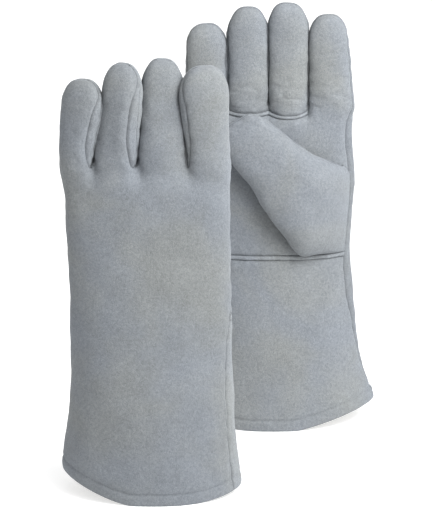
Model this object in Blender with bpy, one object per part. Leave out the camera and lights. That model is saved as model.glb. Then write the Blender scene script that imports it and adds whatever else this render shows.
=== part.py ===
"""A pair of leather welding gauntlets standing upright on their open cuffs.

Each glove is sewn from flat leather panels round a fabric lining. One welded skin
gives the outer shape, and every panel, welt and lining is a closed shell cut from
that skin between its seams. In a glove's own frame u runs across the hand from the
little finger to the index finger, v runs from the back to the palm, and w runs up
from the cuff's hem to the fingertips. Metres and degrees.
"""

import math

import bmesh
import bpy
from mathutils import Vector

# ---------------------------------------------------------------- driving dimensions
LEATHER = 0.0020
LINING = 0.0012
LINING_GAP = 0.0004
SEAM_GAP = 0.0004
WELT_PROUD = 0.0011
GLOVE_SPACING_X = 0.096
GLOVE_SPACING_Y = 0.186

CUFF_SEAM = 0.1410
WELT_WIDTH = 0.0030
FINGER_HINGE = 0.2600
CROTCH = 0.2665
LINING_HEM = 0.0120
HEM_FLAT_SHARE = 0.22
CUFF_HEIGHTS = (0.0, LINING_HEM, 0.045, 0.090, CUFF_SEAM)
HAND_HEIGHTS = (CUFF_SEAM + WELT_WIDTH, 0.160, 0.182, 0.202, 0.230, FINGER_HINGE,
                FINGER_HINGE + WELT_WIDTH, CROTCH)
FINGER_SHARES = (0.055, 0.30, 0.55, 0.78, 0.90, 0.965, 1.0)

# Half depth of the hand and cuff, and how square its oval is, by height.
HAND_DEPTHS = ((0.110, 0.0300, 2.1), (0.137, 0.0255, 2.2), (0.165, 0.0230, 2.3),
               (0.215, 0.0200, 2.5), (0.262, 0.0170, 2.6))

# Finger sections
SEAM_ANGLE = 48.0
FINGER_DEPTH_BASE = 0.0150
FINGER_DEPTH_TIP = 0.0128
FINGER_SQUARENESS = 2.3
FINGER_CURL = 0.004
DOME_START = 0.76
DOME_SQUARENESS = 2.2
TIP_WIDTH_SHARE = 0.30
CROTCH_ROUNDING = 0.010
KNUCKLE_BLEND = 0.046

# The thumb's outer sheet, row by row from the side seam to the tip: its cuff-side end
# (u, w), its notch-side end (u, w), and how high it stands above the palm at the ends
# and in the middle. From the hinge row on, an inner sheet closes it underneath.
THUMB_ROWS = (((0.0580, 0.1460), (0.0610, 0.2130), 0.0035, 0.0045),
              ((0.0400, 0.1460), (0.0600, 0.2145), 0.0042, 0.0120),
              ((0.0245, 0.1465), (0.0585, 0.2160), 0.0045, 0.0175),
              ((0.0120, 0.1620), (0.0560, 0.2190), 0.0080, 0.0215),
              ((0.0015, 0.1790), (0.0520, 0.2236), 0.0130, 0.0235),
              ((-0.0178, 0.2055), (0.0300, 0.2405), 0.0130, 0.0235),
              ((-0.0310, 0.2240), (0.0111, 0.2540), 0.0125, 0.0220),
              ((-0.0372, 0.2390), (-0.0038, 0.2622), 0.0120, 0.0190),
              ((-0.0350, 0.2530), (-0.0190, 0.2650), 0.0115, 0.0115))
THUMB_HINGE_ROW = 4
THUMB_COLUMNS = 6
THUMB_SQUARENESS = 2.5
THUMB_PALM_GAP = 0.0035
THUMB_HOLE_HEIGHTS = (0.160, 0.202)
THUMB_HOLE_COLUMNS = (1, 2, 3)

# Mesh columns
FINGER_COLUMNS = 3
SIDE_COLUMNS = 2

LEATHER_GREY = (0.36, 0.38, 0.41, 1.0)
WELT_GREY = (0.42, 0.44, 0.47, 1.0)
LINING_CREAM = (0.72, 0.68, 0.58, 1.0)

# One finger: base centre, base half width, tip centre, tip half width, tip height,
# twist about its own length, and how far it sits towards the palm.
LEFT_FINGERS = (
    (-0.0562, 0.0126, -0.0513, 0.0160, 0.3345, -25.0, -0.002),
    (-0.0258, 0.0166, -0.0192, 0.0156, 0.3475, -22.0, -0.001),
    (0.0112, 0.0192, 0.0114, 0.0158, 0.3500, -2.0, 0.003),
    (0.0470, 0.0158, 0.0440, 0.0176, 0.3457, 18.0, -0.005),
)
RIGHT_FINGERS = (
    (-0.0504, 0.0162, -0.0510, 0.0163, 0.3325, 0.0, 0.0),
    (-0.0171, 0.0165, -0.0175, 0.0168, 0.3465, 0.0, 0.0),
    (0.0153, 0.0155, 0.0154, 0.0157, 0.3500, 0.0, 0.0),
    (0.0492, 0.0180, 0.0476, 0.0160, 0.3402, 0.0, 0.0),
)
# Little-finger edge and index edge of the hand and cuff, by height.
LEFT_EDGES = ((0.000, -0.0690, 0.0740), (0.035, -0.0648, 0.0695), (0.070, -0.0635, 0.0672),
              (0.115, -0.0612, 0.0652), (0.190, -0.0632, 0.0638), (0.225, -0.0655, 0.0632),
              (0.262, -0.0690, 0.0628))
RIGHT_EDGES = ((0.000, -0.0780, 0.0870), (0.021, -0.0730, 0.0795), (0.045, -0.0685, 0.0740),
               (0.094, -0.0630, 0.0692), (0.142, -0.0610, 0.0665), (0.205, -0.0635, 0.0695),
               (0.240, -0.0660, 0.0668), (0.262, -0.0670, 0.0672))
# Half depth of the cuff from the hem up, by height, with its squareness.
LEFT_CUFF_DEPTHS = ((0.000, 0.0470, 2.0), (0.045, 0.0420, 2.0), (0.080, 0.0375, 2.05))
RIGHT_CUFF_DEPTHS = ((0.000, 0.0440, 2.0), (0.045, 0.0380, 2.0), (0.080, 0.0340, 2.05))
# How far the hem rises and how suddenly, at the little-finger side and at the index side.
LEFT_HEM_RISE = ((0.0190, 1.35), (0.0063, 2.4))
RIGHT_HEM_RISE = ((0.0120, 1.5), (0.0175, 1.1))
# How far the back panel wraps round each side: little-finger side, index side, by height.
LEFT_WRAPS = ((0.000, 20.0, -24.0), (0.120, 20.0, -20.0), (0.190, 24.0, 20.0), (0.262, 25.0, 25.0))
RIGHT_WRAPS = ((0.000, 22.0, -4.0), (0.050, 22.0, 8.0), (0.110, 22.0, 24.0), (0.190, 24.0, 22.0),
               (0.262, 25.0, 25.0))

FINGER_NAMES = ("little", "ring", "middle", "index")
SHARPEST_MITRE = 0.08
SHARPEST_OFFSET = 0.6
TINY = 1e-9


# ---------------------------------------------------------------- numbers
def smoothstep(x):
    x = min(max(x, 0.0), 1.0)
    return x * x * (3.0 - 2.0 * x)


def mix(a, b, share):
    return a + (b - a) * share


def station(table, height):
    """The table's other columns at a height, on a smooth curve through its rows."""
    height = min(max(height, table[0][0]), table[-1][0])
    last = len(table) - 1
    row = max(i for i in range(last) if table[i][0] <= height)
    low, high = table[row], table[row + 1]
    span = high[0] - low[0]
    share = (height - low[0]) / span
    before, after = table[max(row - 1, 0)], table[min(row + 2, last)]
    found = []
    for column in range(1, len(low)):
        slope_low = (high[column] - before[column]) / (high[0] - before[0])
        slope_high = (after[column] - low[column]) / (after[0] - low[0])
        cubic = (2 * share ** 3 - 3 * share ** 2 + 1) * low[column]
        cubic += (share ** 3 - 2 * share ** 2 + share) * span * slope_low
        cubic += (3 * share ** 2 - 2 * share ** 3) * high[column]
        cubic += (share ** 3 - share ** 2) * span * slope_high
        found.append(cubic)
    return found


def oval(angle, half_width, half_depth, squareness):
    """A point of a squared oval. Angle 0 faces +u and 90 faces +v."""
    c = math.cos(math.radians(angle))
    s = math.sin(math.radians(angle))
    power = 2.0 / squareness
    return (math.copysign(abs(c) ** power, c) * half_width,
            math.copysign(abs(s) ** power, s) * half_depth)


# ---------------------------------------------------------------- the welded skin
class Skin:
    """Named vertices, and faces that carry the name of the region they belong to."""

    def __init__(self):
        self.points = []
        self.index = {}
        self.faces = []
        self.flat_rows = {}

    def vertex(self, key, point):
        if key not in self.index:
            self.index[key] = len(self.points)
            self.points.append(Vector(point))
        return self.index[key]

    def quad(self, keys, region):
        corners = list(dict.fromkeys(self.index[key] for key in keys))
        if len(corners) >= 3:
            self.faces.append((corners, region))


class Glove:
    """One glove's shape, and the skin built from it."""

    def __init__(self, edges, cuff_depths, hem_rise, wraps, fingers):
        self.edges = edges
        self.depths = cuff_depths + HAND_DEPTHS
        self.hem_rise = hem_rise
        self.wraps = wraps
        self.fingers = fingers
        self.skin = Skin()
        self.heights = CUFF_HEIGHTS + HAND_HEIGHTS
        self.seam_row = self.heights.index(CUFF_SEAM)
        self.hinge_row = self.heights.index(FINGER_HINGE)
        self.crotch_row = len(self.heights) - 1
        self.back_slots = self.row_slots("back")
        self.palm_slots = self.row_slots("palm")
        self.back_shares = self.shares_along(self.back_slots)
        self.palm_shares = self.shares_along(self.palm_slots)

    # ---- fingers
    def finger_point(self, finger, height, angle):
        base_u, base_half, tip_u, tip_half, tip, twist, towards_palm = self.fingers[finger]
        share = min(max((height - CROTCH) / (tip - CROTCH), 0.0), 1.0)
        along = smoothstep(share * 1.3)
        half_width = mix(base_half, tip_half, along)
        half_depth = mix(FINGER_DEPTH_BASE, FINGER_DEPTH_TIP, along)
        if share > DOME_START:
            over = (share - DOME_START) / (1.0 - DOME_START)
            dome = max(1.0 - over ** DOME_SQUARENESS, 0.0) ** (1.0 / DOME_SQUARENESS)
            half_width *= mix(TIP_WIDTH_SHARE, 1.0, dome)
            half_depth *= dome
        u, v = oval(angle, half_width, half_depth, FINGER_SQUARENESS)
        turn = math.radians(twist) * smoothstep(share * 3.0)
        centre_u = mix(base_u, tip_u, along)
        centre_v = towards_palm * along + FINGER_CURL * share * share
        return Vector((centre_u + u * math.cos(turn) - v * math.sin(turn),
                       centre_v + u * math.sin(turn) + v * math.cos(turn), height))

    def slot_angle(self, side, step):
        """The angle round a finger's section of one of its columns."""
        if side == "back":
            return mix(180.0 + SEAM_ANGLE, 360.0 - SEAM_ANGLE, step / FINGER_COLUMNS)
        if side == "palm":
            return mix(SEAM_ANGLE, 180.0 - SEAM_ANGLE, step / FINGER_COLUMNS)
        if side == "right":
            return mix(-SEAM_ANGLE, SEAM_ANGLE, step / SIDE_COLUMNS)
        return mix(180.0 - SEAM_ANGLE, 180.0 + SEAM_ANGLE, step / SIDE_COLUMNS)

    def row_slots(self, side):
        """The columns across the back, or across the palm from the index finger back."""
        order = range(4) if side == "back" else range(3, -1, -1)
        slots = []
        for finger in order:
            first = 0 if not slots else 1
            slots += [(finger, side, step) for step in range(first, FINGER_COLUMNS + 1)]
        if side == "back":
            outer_left = [(0, "left", step) for step in range(0, SIDE_COLUMNS)]
            outer_right = [(3, "right", step) for step in range(1, SIDE_COLUMNS + 1)]
            slots = outer_left + slots + outer_right
        return slots

    def crotch_pair(self, slot):
        """The other finger's column that meets this one at a crotch, or None."""
        finger, side, step = slot
        if side == "back" and step == FINGER_COLUMNS and finger < 3:
            return (finger + 1, "back", 0)
        if side == "back" and step == 0 and finger > 0:
            return (finger - 1, "back", FINGER_COLUMNS)
        if side == "palm" and step == 0 and finger < 3:
            return (finger + 1, "palm", FINGER_COLUMNS)
        if side == "palm" and step == FINGER_COLUMNS and finger > 0:
            return (finger - 1, "palm", 0)
        if side == "right" and finger < 3:
            return (finger + 1, "left", SIDE_COLUMNS - step)
        if side == "left" and finger > 0:
            return (finger - 1, "right", SIDE_COLUMNS - step)
        return None

    def chain_point(self, slot, height):
        """A column of the four fingers side by side, joined at their crotches."""
        point = self.finger_point(slot[0], height, self.slot_angle(*slot[1:]))
        pair = self.crotch_pair(slot)
        if pair:
            other = self.finger_point(pair[0], height, self.slot_angle(*pair[1:]))
            opening = min(max((height - CROTCH) / CROTCH_ROUNDING, 0.0), 1.0)
            apart = math.sqrt(1.0 - (1.0 - opening) ** 2)
            point = mix((point + other) / 2.0, point, apart)
        return point

    def shares_along(self, slots):
        """How far round the section each column is, from 0 to 1, at the crotches."""
        points = [self.chain_point(slot, CROTCH) for slot in slots]
        lengths = [0.0]
        for here, there in zip(points, points[1:]):
            lengths.append(lengths[-1] + (there - here).length)
        return [length / lengths[-1] for length in lengths]

    # ---- hand and cuff
    def section(self, height):
        low_u, high_u = station(self.edges, height)
        half_depth, squareness = station(self.depths, height)
        return (low_u + high_u) / 2.0, (high_u - low_u) / 2.0, half_depth, squareness

    def hand_point(self, side, share, height):
        """A point of the hand or cuff section, a share of the way along its back or palm."""
        centre, half_width, half_depth, squareness = self.section(height)
        little_wrap, index_wrap = station(self.wraps, height)
        if side == "back":
            start, end = 180.0 - little_wrap, 360.0 + index_wrap
        else:
            start, end = index_wrap, 180.0 - little_wrap
        steps = 60
        corners = [oval(mix(start, end, i / steps), half_width, half_depth, squareness)
                   for i in range(steps + 1)]
        lengths = [0.0]
        for here, there in zip(corners, corners[1:]):
            lengths.append(lengths[-1] + math.dist(here, there))
        wanted = share * lengths[-1]
        step = max(i for i in range(steps) if lengths[i] <= wanted + TINY)
        part = (wanted - lengths[step]) / (lengths[step + 1] - lengths[step])
        u = mix(corners[step][0], corners[step + 1][0], part)
        v = mix(corners[step][1], corners[step + 1][1], part)
        beyond = max(abs(u) / half_width - HEM_FLAT_SHARE, 0.0) / (1.0 - HEM_FLAT_SHARE)
        rise, power = self.hem_rise[0] if u < 0 else self.hem_rise[1]
        lift = rise * beyond ** power * smoothstep(1.0 - height / CUFF_SEAM)
        return Vector((centre + u, v, height + lift))

    def row_point(self, slot, share, height):
        hand = self.hand_point("palm" if slot[1] == "palm" else "back", share, height)
        knuckle = smoothstep((height - CROTCH + KNUCKLE_BLEND) / KNUCKLE_BLEND)
        return mix(hand, self.chain_point(slot, height), knuckle)

    def palm_height(self, u, height):
        """How far the palm's surface stands towards +v at a place on it."""
        centre, half_width, half_depth, squareness = self.section(height)
        across = min(abs(u - centre) / half_width, 0.97)
        return half_depth * (1.0 - across ** squareness) ** (1.0 / squareness)

    # ---- keys shared by neighbouring regions
    def row_key(self, row, slot):
        pair = self.crotch_pair(slot)
        if pair and slot[1] in ("back", "palm"):
            slot = min(slot, pair)
        return ("row", row, slot)

    def side_key(self, row):
        """The seam between back and palm on the index side."""
        return self.row_key(row, (3, "right", SIDE_COLUMNS))

    def little_key(self, row):
        """The seam between back and palm on the little-finger side."""
        return self.row_key(row, (0, "left", 0))

    def palm_key(self, row, column):
        if column == 0:
            return self.side_key(row)
        if column == len(self.palm_slots) - 1:
            return self.little_key(row)
        return self.row_key(row, self.palm_slots[column])

    # ---- rows of vertices
    def add_hand_rows(self):
        for row, height in enumerate(self.heights):
            for slot, share in zip(self.back_slots, self.back_shares):
                self.skin.vertex(self.row_key(row, slot), self.row_point(slot, share, height))
            for column, (slot, share) in enumerate(zip(self.palm_slots, self.palm_shares)):
                self.skin.vertex(self.palm_key(row, column), self.row_point(slot, share, height))

    def lens(self, across):
        return max(1.0 - abs(across) ** THUMB_SQUARENESS, 0.0) ** (1.0 / THUMB_SQUARENESS)

    def thumb_key(self, row, column, sheet):
        closed = row >= THUMB_HINGE_ROW and column in (0, THUMB_COLUMNS)
        if closed or row == len(THUMB_ROWS) - 1:
            sheet = "edge"
        return ("thumb", row, column, sheet)

    def add_thumb(self):
        """The thumb folded across the palm, standing just clear of it."""
        for row, (cuff_end, notch_end, edge, crown) in enumerate(THUMB_ROWS):
            for column in range(THUMB_COLUMNS + 1):
                across = -math.cos(math.pi * column / THUMB_COLUMNS)
                u = mix(cuff_end[0], notch_end[0], (across + 1.0) / 2.0)
                w = mix(cuff_end[1], notch_end[1], (across + 1.0) / 2.0)
                palm = self.palm_height(u, w)
                outer = palm + mix(edge, crown, self.lens(across))
                inner = palm + mix(edge, THUMB_PALM_GAP, self.lens(across))
                self.add_thumb_vertex(row, column, "outer", (u, outer, w))
                if row >= THUMB_HINGE_ROW:
                    self.add_thumb_vertex(row, column, "inner", (u, inner, w))
        hinge = [self.skin.points[index] for index in self.skin.flat_rows]
        middle = sum(hinge, Vector()) / len(hinge)
        self.thumb_hinge = Vector((middle.x, max(point.y for point in hinge), middle.z))

    def add_thumb_vertex(self, row, column, sheet, point):
        index = self.skin.vertex(self.thumb_key(row, column, sheet), point)
        if row == THUMB_HINGE_ROW:
            self.skin.flat_rows[index] = self.thumb_direction()

    def thumb_direction(self):
        """The way the thumb points from its hinge, square to the hinge's line."""
        cuff_end, notch_end = THUMB_ROWS[THUMB_HINGE_ROW][:2]
        return Vector((cuff_end[1] - notch_end[1], 0.0, notch_end[0] - cuff_end[0])).normalized()

    # ---- faces
    def add_hand_faces(self):
        skin = self.skin
        for row in range(self.crotch_row):
            part = self.height_part(row)
            for a, b in zip(self.back_slots, self.back_slots[1:]):
                skin.quad([self.row_key(row, a), self.row_key(row, b),
                           self.row_key(row + 1, b), self.row_key(row + 1, a)], "back_" + part)
            hole = THUMB_HOLE_HEIGHTS[0] <= self.heights[row] < THUMB_HOLE_HEIGHTS[1]
            for column in range(len(self.palm_slots) - 1):
                finger = self.palm_slots[column + 1][0]
                region = "palm_" + part
                if part == "fingers":
                    region = self.front_region(row, finger)
                if hole and column in THUMB_HOLE_COLUMNS:
                    region = "thumb_hole"
                skin.quad([self.palm_key(row, column), self.palm_key(row, column + 1),
                           self.palm_key(row + 1, column + 1), self.palm_key(row + 1, column)], region)

    def height_part(self, row):
        if row < self.seam_row:
            return "hem" if row == 0 else "cuff"
        if row == self.seam_row:
            return "welt"
        return "hand" if row < self.hinge_row else "fingers"

    def front_region(self, row, finger):
        if finger in (0, 3):
            return "front_" + FINGER_NAMES[finger]
        return "finger_welt" if row == self.hinge_row else "front_middle"

    def add_fingers(self):
        for finger in range(4):
            loop = []
            for side, steps in (("back", FINGER_COLUMNS), ("right", SIDE_COLUMNS),
                                ("palm", FINGER_COLUMNS), ("left", SIDE_COLUMNS)):
                loop += [(finger, side, step) for step in range(steps)]
            tip = self.fingers[finger][4]
            heights = [CROTCH] + [mix(CROTCH, tip, share) for share in FINGER_SHARES]
            rows = []
            for level, height in enumerate(heights):
                keys = []
                for slot in loop:
                    key = self.finger_key(level, len(heights) - 1, slot)
                    self.skin.vertex(key, self.chain_point(slot, height))
                    keys.append(key)
                rows.append(keys)
            for low, high in zip(rows, rows[1:]):
                for i, slot in enumerate(loop):
                    j = (i + 1) % len(loop)
                    self.skin.quad([low[i], low[j], high[j], high[i]], self.finger_region(slot))

    def finger_key(self, level, last, slot):
        """A finger's column at a level. Seams between sides share one vertex."""
        finger, side, step = slot
        if step == 0 and side in ("right", "left"):
            side, step = ("back", FINGER_COLUMNS) if side == "right" else ("palm", FINGER_COLUMNS)
        if level == 0:
            return self.crotch_row_key((finger, side, step))
        if level == last:
            return self.tip_key(finger, side, step)
        return ("finger", finger, level, side, step)

    def crotch_row_key(self, slot):
        finger, side, step = slot
        if slot == (0, "palm", FINGER_COLUMNS):
            return self.little_key(self.crotch_row)
        if slot == (3, "palm", 0):
            return self.side_key(self.crotch_row)
        if side in ("right", "left") and self.crotch_pair(slot):
            return ("crotch", min(slot, self.crotch_pair(slot)))
        return self.row_key(self.crotch_row, slot)

    def tip_key(self, finger, side, step):
        """The section closes to one seam across the fingertip."""
        if side == "palm":
            step = FINGER_COLUMNS - step
        if side == "right":
            step = FINGER_COLUMNS
        if side == "left":
            step = 0
        return ("tip", finger, step)

    def finger_region(self, slot):
        finger, side, _ = slot
        if side == "back" or (finger == 0 and side == "left") or (finger == 3 and side == "right"):
            return "back_fingers"
        if side == "palm":
            return "front_" + FINGER_NAMES[finger] if finger in (0, 3) else "front_middle"
        gap = finger if side == "right" else finger - 1
        return "fourchette_" + FINGER_NAMES[gap]

    def add_thumb_faces(self):
        for row in range(len(THUMB_ROWS) - 1):
            moving = row >= THUMB_HINGE_ROW
            for sheet in ("outer", "inner") if moving else ("outer",):
                region = "thumb_" + sheet if moving else "thumb_root"
                for column in range(THUMB_COLUMNS):
                    keys = [self.thumb_key(row + up, column + across, sheet)
                            for up, across in ((0, 0), (1, 0), (1, 1), (0, 1))]
                    if column == 0:
                        keys = keys[-1:] + keys[:-1]
                    self.skin.quad(keys, region)

    def build(self):
        self.add_hand_rows()
        self.add_hand_faces()
        self.add_fingers()
        self.add_thumb()
        self.add_thumb_faces()
        knuckles = self.flatten_row(self.hinge_row)
        self.flatten_row(0)
        outermost = max(point.y for point in knuckles) + WELT_PROUD
        self.finger_hinge = Vector((0.0, outermost, FINGER_HINGE))
        return self

    def flatten_row(self, row):
        """Keeps the shells' edges level along one row, and returns the row's points."""
        found = [index for key, index in self.skin.index.items()
                 if key[0] == "row" and key[1] == row]
        for index in found:
            self.skin.flat_rows[index] = Vector((0.0, 0.0, 1.0))
        return [self.skin.points[index] for index in found]


# ---------------------------------------------------------------- closed shells
class Surface:
    """The skin as triangles that face out, with a normal at each vertex."""

    def __init__(self, skin):
        mesh = bmesh.new()
        corners = [mesh.verts.new(point) for point in skin.points]
        regions = []
        for face, region in skin.faces:
            for i in range(1, len(face) - 1):
                mesh.faces.new([corners[face[0]], corners[face[i]], corners[face[i + 1]]])
                regions.append(region)
        bmesh.ops.recalc_face_normals(mesh, faces=mesh.faces)
        mesh.verts.index_update()
        triangles = [[corner.index for corner in face.verts] for face in mesh.faces]
        volume = sum(skin.points[a].dot(skin.points[b].cross(skin.points[c])) for a, b, c in triangles)
        sign = 1.0 if volume > 0.0 else -1.0
        mesh.normal_update()
        self.points = skin.points
        self.normals = [corner.normal * sign for corner in corners]
        for index, across in skin.flat_rows.items():
            flat = self.normals[index] - across * self.normals[index].dot(across)
            self.normals[index] = flat.normalized()
        self.inwards = [-self.normals[corner.index] * self.mitre(corner, sign) for corner in corners]
        self.triangles = [tri if sign > 0.0 else tri[::-1] for tri in triangles]
        self.regions = regions
        self.hem = {corner.index for corner in corners if corner.is_boundary}
        mesh.free()

    def mitre(self, corner, sign):
        """How much further a sharp corner's offset reaches, to keep the sheet's thickness."""
        normal = self.normals[corner.index]
        facing = [sign * normal.dot(face.normal) for face in corner.link_faces]
        return 1.0 / max(sum(facing) / len(facing), SHARPEST_OFFSET)

    def shell(self, regions, outer_depth, inner_depth):
        """One closed piece between two depths under the surface of some regions."""
        chosen = [tri for tri, region in zip(self.triangles, self.regions) if region in regions]
        edges = {(tri[i], tri[(i + 1) % 3]) for tri in chosen for i in range(3)}
        rim = [(a, b) for a, b in edges if (b, a) not in edges]
        shift = self.seam_shift(rim)
        used = sorted({index for tri in chosen for index in tri})
        place = {index: i for i, index in enumerate(used)}
        points = []
        for depth in (outer_depth, inner_depth):
            for index in used:
                inset = shift.get(index, Vector())
                points.append(self.points[index] + inset + self.inwards[index] * depth)
        count = len(used)
        faces = [[place[i] for i in tri] for tri in chosen]
        faces += [[place[i] + count for i in reversed(tri)] for tri in chosen]
        for a, b in rim:
            near, far = place[a], place[b]
            if a < b:
                faces += [[far, near, near + count], [far, near + count, far + count]]
            else:
                faces += [[far, near, far + count], [near, near + count, far + count]]
        return points, faces

    def seam_shift(self, rim):
        """How far each rim vertex draws back from its seams, to leave clearance there."""
        inward = {}
        for a, b in rim:
            if a in self.hem and b in self.hem:
                continue
            for index in (a, b):
                across = self.normals[index].cross(self.points[b] - self.points[a]).normalized()
                inward.setdefault(index, []).append(across)
        shift = {}
        for index, ways in inward.items():
            total = sum(ways, Vector())
            if index in self.hem:
                total.z = 0.0
            reach = 1.0 if len(ways) < 2 else max(1.0 + ways[0].dot(ways[1]), SHARPEST_MITRE)
            shift[index] = total * (SEAM_GAP / 2.0 / reach)
        return shift


# ---------------------------------------------------------------- pieces and bodies
def piece_list():
    """Each piece: body, name, regions, how proud it stands, its inner depth, its material."""
    fabric = LEATHER + LINING_GAP
    welt = -WELT_PROUD
    fourchettes = ["fourchette_" + name for name in FINGER_NAMES[:3]]
    fronts = ["front_index", "front_middle", "front_little"]
    pieces = [
        ("hand", "back", ["back_hem", "back_cuff", "back_welt", "back_hand"], 0.0, LEATHER, "leather"),
        ("hand", "palm", ["palm_hand"], 0.0, LEATHER, "leather"),
        ("hand", "thumb_root", ["thumb_root"], 0.0, LEATHER, "leather"),
        ("hand", "cuff_palm_panel", ["palm_hem", "palm_cuff"], 0.0, LEATHER, "leather"),
        ("hand", "cuff_welt", ["palm_welt"], welt, LEATHER, "welt"),
        ("hand", "lining_cuff", ["back_cuff", "palm_cuff"], fabric, fabric + LINING, "lining"),
        ("hand", "lining_hand", ["back_welt", "palm_welt", "back_hand", "palm_hand"],
         fabric, fabric + LINING, "lining"),
        ("fingers", "back_fingers", ["back_fingers"], 0.0, LEATHER, "leather"),
        ("fingers", "finger_welt", ["finger_welt"], welt, LEATHER, "welt"),
        ("fingers", "lining_fingers", ["back_fingers", "finger_welt"] + fourchettes + fronts,
         fabric, fabric + LINING, "lining"),
        ("thumb", "lining_thumb", ["thumb_outer", "thumb_inner"], fabric, fabric + LINING, "lining"),
    ]
    pieces += [("fingers", name, [name], 0.0, LEATHER, "leather") for name in fronts + fourchettes]
    pieces += [("thumb", name, [name], 0.0, LEATHER, "leather") for name in ("thumb_outer", "thumb_inner")]
    return pieces


def make_material(name, colour, roughness):
    material = bpy.data.materials.new(name)
    material.use_nodes = True
    shader = material.node_tree.nodes["Principled BSDF"]
    shader.inputs["Base Color"].default_value = colour
    shader.inputs["Roughness"].default_value = roughness
    shader.inputs["Metallic"].default_value = 0.0
    return material


def add_object(name, points, faces, pivot, empty, material):
    """A mesh object whose origin is its joint's pivot."""
    mesh = bpy.data.meshes.new(name)
    mesh.from_pydata([point - pivot for point in points], [], faces)
    mesh.materials.append(material)
    made = bpy.data.objects.new(name, mesh)
    made.parent = empty
    bpy.context.scene.collection.objects.link(made)


def add_glove(side, glove, offset, palm_sign, origin):
    """All of one glove's pieces, under one empty for each body."""
    def place(point):
        return Vector((point.x + offset.x, palm_sign * point.y + offset.y, point.z)) - origin

    surface = Surface(glove.skin)
    pivots = {"hand": Vector(), "fingers": place(glove.finger_hinge), "thumb": place(glove.thumb_hinge)}
    empties = {}
    for body, pivot in pivots.items():
        empty = bpy.data.objects.new(f"{side}_{body}_pivot", None)
        empty.location = pivot
        bpy.context.scene.collection.objects.link(empty)
        empties[body] = empty
    finishes = {"leather": (LEATHER_GREY, 0.95), "welt": (WELT_GREY, 0.9), "lining": (LINING_CREAM, 1.0)}
    for body, name, regions, outer, inner, finish in piece_list():
        points, faces = surface.shell(regions, outer, inner)
        if palm_sign < 0.0:
            faces = [face[::-1] for face in faces]
        node = f"{side}_{name}"
        material = make_material(node, *finishes[finish])
        add_object(node, [place(point) for point in points], faces, pivots[body], empties[body], material)


def main():
    for old in list(bpy.data.objects):
        bpy.data.objects.remove(old)
    left = Glove(LEFT_EDGES, LEFT_CUFF_DEPTHS, LEFT_HEM_RISE, LEFT_WRAPS, LEFT_FINGERS).build()
    right = Glove(RIGHT_EDGES, RIGHT_CUFF_DEPTHS, RIGHT_HEM_RISE, RIGHT_WRAPS, RIGHT_FINGERS).build()
    left_offset = Vector((-GLOVE_SPACING_X / 2.0, -GLOVE_SPACING_Y / 2.0, 0.0))
    right_offset = Vector((GLOVE_SPACING_X / 2.0, GLOVE_SPACING_Y / 2.0, 0.0))
    low_x = min(point.x for point in left.skin.points) + left_offset.x
    high_x = max(point.x for point in right.skin.points) + right_offset.x
    low_y = min(point.y for point in left.skin.points) + left_offset.y
    high_y = max(-point.y for point in right.skin.points) + right_offset.y
    origin = Vector(((low_x + high_x) / 2.0, (low_y + high_y) / 2.0, 0.0))
    add_glove("left", left, left_offset, 1.0, origin)
    add_glove("right", right, right_offset, -1.0, origin)


main()
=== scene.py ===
import math

import bmesh
import bpy
import numpy as np
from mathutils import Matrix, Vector, kdtree, noise
from mathutils.bvhtree import BVHTree


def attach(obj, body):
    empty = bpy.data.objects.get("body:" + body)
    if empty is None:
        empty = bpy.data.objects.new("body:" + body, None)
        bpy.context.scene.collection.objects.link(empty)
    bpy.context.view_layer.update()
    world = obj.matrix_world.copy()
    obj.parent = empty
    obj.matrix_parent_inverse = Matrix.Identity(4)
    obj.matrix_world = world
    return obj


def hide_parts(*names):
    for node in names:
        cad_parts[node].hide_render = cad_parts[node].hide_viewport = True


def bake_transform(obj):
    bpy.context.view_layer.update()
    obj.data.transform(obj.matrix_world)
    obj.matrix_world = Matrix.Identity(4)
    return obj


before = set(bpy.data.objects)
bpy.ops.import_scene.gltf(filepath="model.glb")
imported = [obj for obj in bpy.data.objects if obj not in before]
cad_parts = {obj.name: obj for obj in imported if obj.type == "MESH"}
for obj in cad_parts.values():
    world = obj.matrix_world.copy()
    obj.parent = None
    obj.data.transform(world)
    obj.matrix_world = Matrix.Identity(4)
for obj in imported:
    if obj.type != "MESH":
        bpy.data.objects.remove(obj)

# A pair of suede welding gauntlets. Each glove is worked out as one welded skin in its own
# frame: u across the hand from the little finger to the index finger, v from the back to
# the palm, w up from the hem. The skin is subdivided, rolled in at its seams, and cut into
# panels with thickness. Metres and degrees.

# ---------------------------------------------------------------- driving dimensions
LEATHER = 0.0020
LINING = 0.0012
# How far the lining lies inside the skin. Where two fingers meet it is thinner still: it keeps only
# LINING_VALLEY of the skin's distance from the glove's middle.
LINING_DEPTH = 0.0028
LINING_VALLEY = 0.55
SEAM_GAP = 0.00016
# The hem is folded back inside: the leather's thickness there, the fold's height and its edge.
HEM_FOLD = 0.0034
HEM_FOLD_HEIGHT = 0.010
HEM_FOLD_EDGE = 0.002

CUFF_SEAM = 0.1410
WELT_WIDTH = 0.0030
WELT_PROUD = 0.0008
FINGER_HINGE = 0.2600
CROTCH = 0.2665
LINING_HEM = 0.0120
HEM_FLAT_SHARE = 0.22
CUFF_HEIGHTS = (0.0, 0.0025, 0.006, 0.0095, LINING_HEM, 0.020, 0.030, 0.042, 0.054, 0.066, 0.078,
                0.090, 0.102, 0.115, 0.126, 0.134, CUFF_SEAM)
HAND_HEIGHTS = (CUFF_SEAM + WELT_WIDTH, 0.1465, 0.152, 0.160, 0.171, 0.182, 0.193, 0.204, 0.215,
                0.226, 0.236, 0.246, 0.254, FINGER_HINGE, FINGER_HINGE + 0.0022, 0.2644, CROTCH)
FINGER_SHARES = (0.012, 0.03, 0.06, 0.10, 0.16, 0.25, 0.36, 0.47, 0.58, 0.68, 0.77, 0.845, 0.90, 0.94,
                 0.967, 0.987, 1.0)

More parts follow.
